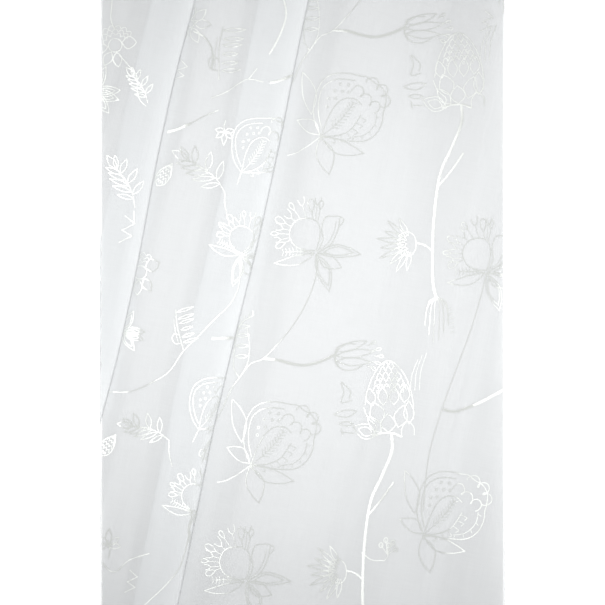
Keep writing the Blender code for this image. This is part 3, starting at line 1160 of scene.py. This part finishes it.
class StageLook(bpy.types.PropertyGroup):
    """The camera above the cloth, the studio light and the floor."""

    camera_height: length_setting("Camera height", "Height of the camera above the floor", 2.4, 0.5, 10.0)
    view_width: length_setting("View width", "Width of floor in the square view", 0.8087, 0.1, 5.0)
    key_energy: power_setting("Key light", "Power of the light from the left, which casts no shadow", 7.5)
    sheen_energy: power_setting("Sheen light", "Power of the light that only the gloss mirrors", 11.0)
    fill_energy: power_setting("Fill light", "Power of the low light from the right", 10.0)
    top_energy: power_setting("Top light", "Power of the spot above the middle", 262.0)
    ambient: factor_setting("Ambient", "Strength of the even light from all round", 0.38)
    floor_glow: factor_setting("Floor glow", "Light that the white floor adds of its own", 0.35)


class MakeVoileSheet(bpy.types.Operator):
    """Lay the sheer sheet on the folds"""

    bl_idname = "voile.make_sheet"
    bl_label = "Voile sheet"

    def execute(self, context):
        look = context.scene.cloth_look
        cloth = FoldedCloth()
        rows, columns = cloth.u.shape
        index = np.arange(rows * columns).reshape(rows, columns)
        quads = np.stack([index[:-1, :-1], index[:-1, 1:], index[1:, 1:], index[1:, :-1]], axis=-1)
        mesh = bpy.data.meshes.new("voile_sheet")
        mesh.from_pydata(cloth.places.reshape(-1, 3), [], quads.reshape(-1, 4).tolist())
        flat = np.stack([cloth.u, cloth.w], axis=-1).reshape(-1, 2)
        corners = np.empty(len(mesh.loops), np.int32)
        mesh.loops.foreach_get("vertex_index", corners)
        mesh.uv_layers.new(name="flat cloth").data.foreach_set("uv", flat[corners].ravel())
        self.trim(mesh)
        mesh.shade_smooth()
        mesh.materials.append(voile_material(look))
        sheet = linked_object("voile_sheet", mesh)
        wall = sheet.modifiers.new("Thickness", "SOLIDIFY")
        wall.thickness = look.thickness
        wall.offset = 0.0
        wall.use_rim = True
        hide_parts(NODE)
        finish_piece(sheet)
        return {"FINISHED"}

    @staticmethod
    def trim(mesh):
        """Cut the sheet to its size along its four sides."""
        shell = bmesh.new()
        shell.from_mesh(mesh)
        half = (CUT_WIDTH / 2.0, CUT_LENGTH / 2.0)
        for axis in (0, 1):
            for side in (-1.0, 1.0):
                edge = [0.0, 0.0, 0.0]
                edge[axis] = side * half[axis]
                away = [0.0, 0.0, 0.0]
                away[axis] = side
                bmesh.ops.bisect_plane(
                    shell, geom=shell.verts[:] + shell.edges[:] + shell.faces[:], dist=CUT_TOLERANCE,
                    plane_co=edge, plane_no=away, clear_outer=True,
                )
        shell.to_mesh(mesh)
        shell.free()


class MakeEmbroidery(bpy.types.Operator):
    """Stitch the flowers, buds, leaves and stems on the sheet"""

    bl_idname = "voile.make_embroidery"
    bl_label = "Embroidery"

    def execute(self, context):
        look = context.scene.cloth_look
        embroidery = Embroidery(FoldedCloth())
        tree = stitch_tree()
        thread = thread_material(look)
        works = [(name, motif_lines(motifs)) for name, motifs in PIECES]
        works.append((STEM_PIECE, stem_lines()))
        for seed, (name, lines) in enumerate(works):
            drawn = linked_object(name + "_lines", line_mesh(name, lines, embroidery))
            stitched = self.stitched(context, drawn, tree, look.unevenness, seed, thread)
            bpy.data.objects.remove(drawn)
            finish_piece(linked_object(name, stitched))
        return {"FINISHED"}

    @staticmethod
    def stitched(context, drawn, tree, unevenness, seed, thread):
        """The stitches along the drawn lines, as a plain mesh."""
        laying = drawn.modifiers.new("Stitches", "NODES")
        laying.node_group = tree
        given = {"Unevenness": unevenness, "Seed": seed, "Material": thread}
        for item in tree.interface.items_tree:
            if item.in_out == "INPUT" and item.name in given:
                laying[item.identifier] = given[item.name]
        evaluated = drawn.evaluated_get(context.evaluated_depsgraph_get())
        return bpy.data.meshes.new_from_object(evaluated)


class DeclareSheet(bpy.types.Operator):
    """Look up the stitched pieces by name, and do nothing more with them"""

    bl_idname = "voile.declare_sheet"
    bl_label = "State the cut size"

    def execute(self, context):
        things = bpy.data.objects
        stitched = [things[name] for name, _ in PIECES] + [things[STEM_PIECE]]
        return {"FINISHED"}


# The floor, white at both sides and grey under the cloth.
FLOOR_REACH = 3.0
GREY_REACH = CUT_WIDTH / 2.0 - EDGE_MARGIN
WHITE_FLOOR = 0.95
GREY_FLOOR = 0.58

# Where each light hangs, and how wide it is.
Lamp = namedtuple("Lamp", "place size")
KEY_LAMP = Lamp((-0.9, 0.1, 2.25), 1.2)
FILL_LAMP = Lamp((1.55, -0.1, 1.15), 1.2)
SHEEN_LAMP = Lamp((-1.17, 0.1, 1.64), 1.4)
TOP_LAMP = Lamp((0.0, 0.03, 3.0), 0.3)
TOP_SPREAD = math.radians(27.5)


class SetStage(bpy.types.Operator):
    """Set the floor, the light and the camera straight above"""

    bl_idname = "voile.set_stage"
    bl_label = "Stage"

    def execute(self, context):
        scene = context.scene
        stage = scene.stage_look
        self.lay_floor(stage)
        key = self.soft_lamp("key", KEY_LAMP, stage.key_energy)
        key.data.use_shadow = False
        fill = self.soft_lamp("fill", FILL_LAMP, stage.fill_energy)
        fill.visible_glossy = False
        sheen = self.soft_lamp("sheen", SHEEN_LAMP, stage.sheen_energy)
        sheen.visible_diffuse = False
        self.hang_top_lamp(stage)

        world = bpy.data.worlds.new("even light")
        world.use_nodes = True
        background = world.node_tree.nodes["Background"]
        background.inputs["Color"].default_value = (1.0, 1.0, 1.0, 1.0)
        background.inputs["Strength"].default_value = stage.ambient
        scene.world = world

        view = bpy.data.cameras.new("camera")
        view.lens = view.sensor_width * stage.camera_height / stage.view_width
        camera = linked_object("camera", view)
        camera.location = (0.0, 0.0, stage.camera_height)
        scene.camera = camera
        scene.view_settings.view_transform = "Standard"
        return {"FINISHED"}

    @staticmethod
    def lay_floor(stage):
        mesh = bpy.data.meshes.new("floor")
        lines = (-FLOOR_REACH, -GREY_REACH, GREY_REACH, FLOOR_REACH)
        corners = [(x, y, 0.0) for y in (-FLOOR_REACH, FLOOR_REACH) for x in lines]
        mesh.from_pydata(corners, [], [(n, n + 1, n + 5, n + 4) for n in range(3)])
        mesh.materials.append(floor_material("white floor", WHITE_FLOOR, stage.floor_glow))
        mesh.materials.append(floor_material("grey floor", GREY_FLOOR, 0.0))
        mesh.polygons[1].material_index = 1
        linked_object("floor", mesh)

    @staticmethod
    def soft_lamp(name, lamp, energy):
        """A wide square light in its place, shining at the middle of the cloth."""
        light = bpy.data.lights.new(name, "AREA")
        light.energy = energy
        light.size = lamp.size
        hung = linked_object(name, light)
        hung.location = lamp.place
        hung.rotation_euler = (-Vector(lamp.place)).to_track_quat("-Z", "Y").to_euler()
        return hung

    @staticmethod
    def hang_top_lamp(stage):
        """A spot straight above, which fades to the corners and shows in no gloss."""
        light = bpy.data.lights.new("top", "SPOT")
        light.energy = stage.top_energy
        light.spot_size = TOP_SPREAD
        light.spot_blend = 1.0
        light.shadow_soft_size = TOP_LAMP.size
        hung = linked_object("top", light)
        hung.location = TOP_LAMP.place
        hung.visible_camera = False
        hung.visible_glossy = False


class VoilePanel(bpy.types.Panel):
    """Lists the steps that dress the cloth"""

    bl_idname = "VIEW3D_PT_voile"
    bl_label = "Embroidered voile"
    bl_space_type = "VIEW_3D"
    bl_region_type = "UI"
    bl_category = "Voile"

    def draw(self, context):
        for step in STEPS:
            self.layout.operator(step.bl_idname)


STEPS = (SetStage, MakeVoileSheet, MakeEmbroidery, DeclareSheet)
CLASSES = (ClothLook, StageLook, *STEPS, VoilePanel)


def register():
    for kind in CLASSES:
        bpy.utils.register_class(kind)
    bpy.types.Scene.cloth_look = bpy.props.PointerProperty(type=ClothLook)
    bpy.types.Scene.stage_look = bpy.props.PointerProperty(type=StageLook)


def unregister():
    del bpy.types.Scene.stage_look
    del bpy.types.Scene.cloth_look
    for kind in reversed(CLASSES):
        bpy.utils.unregister_class(kind)


def main():
    register()
    bpy.ops.voile.set_stage()
    bpy.ops.voile.make_sheet()
    bpy.ops.voile.make_embroidery()
    bpy.ops.voile.declare_sheet()


if __name__ == "__main__":
    main()
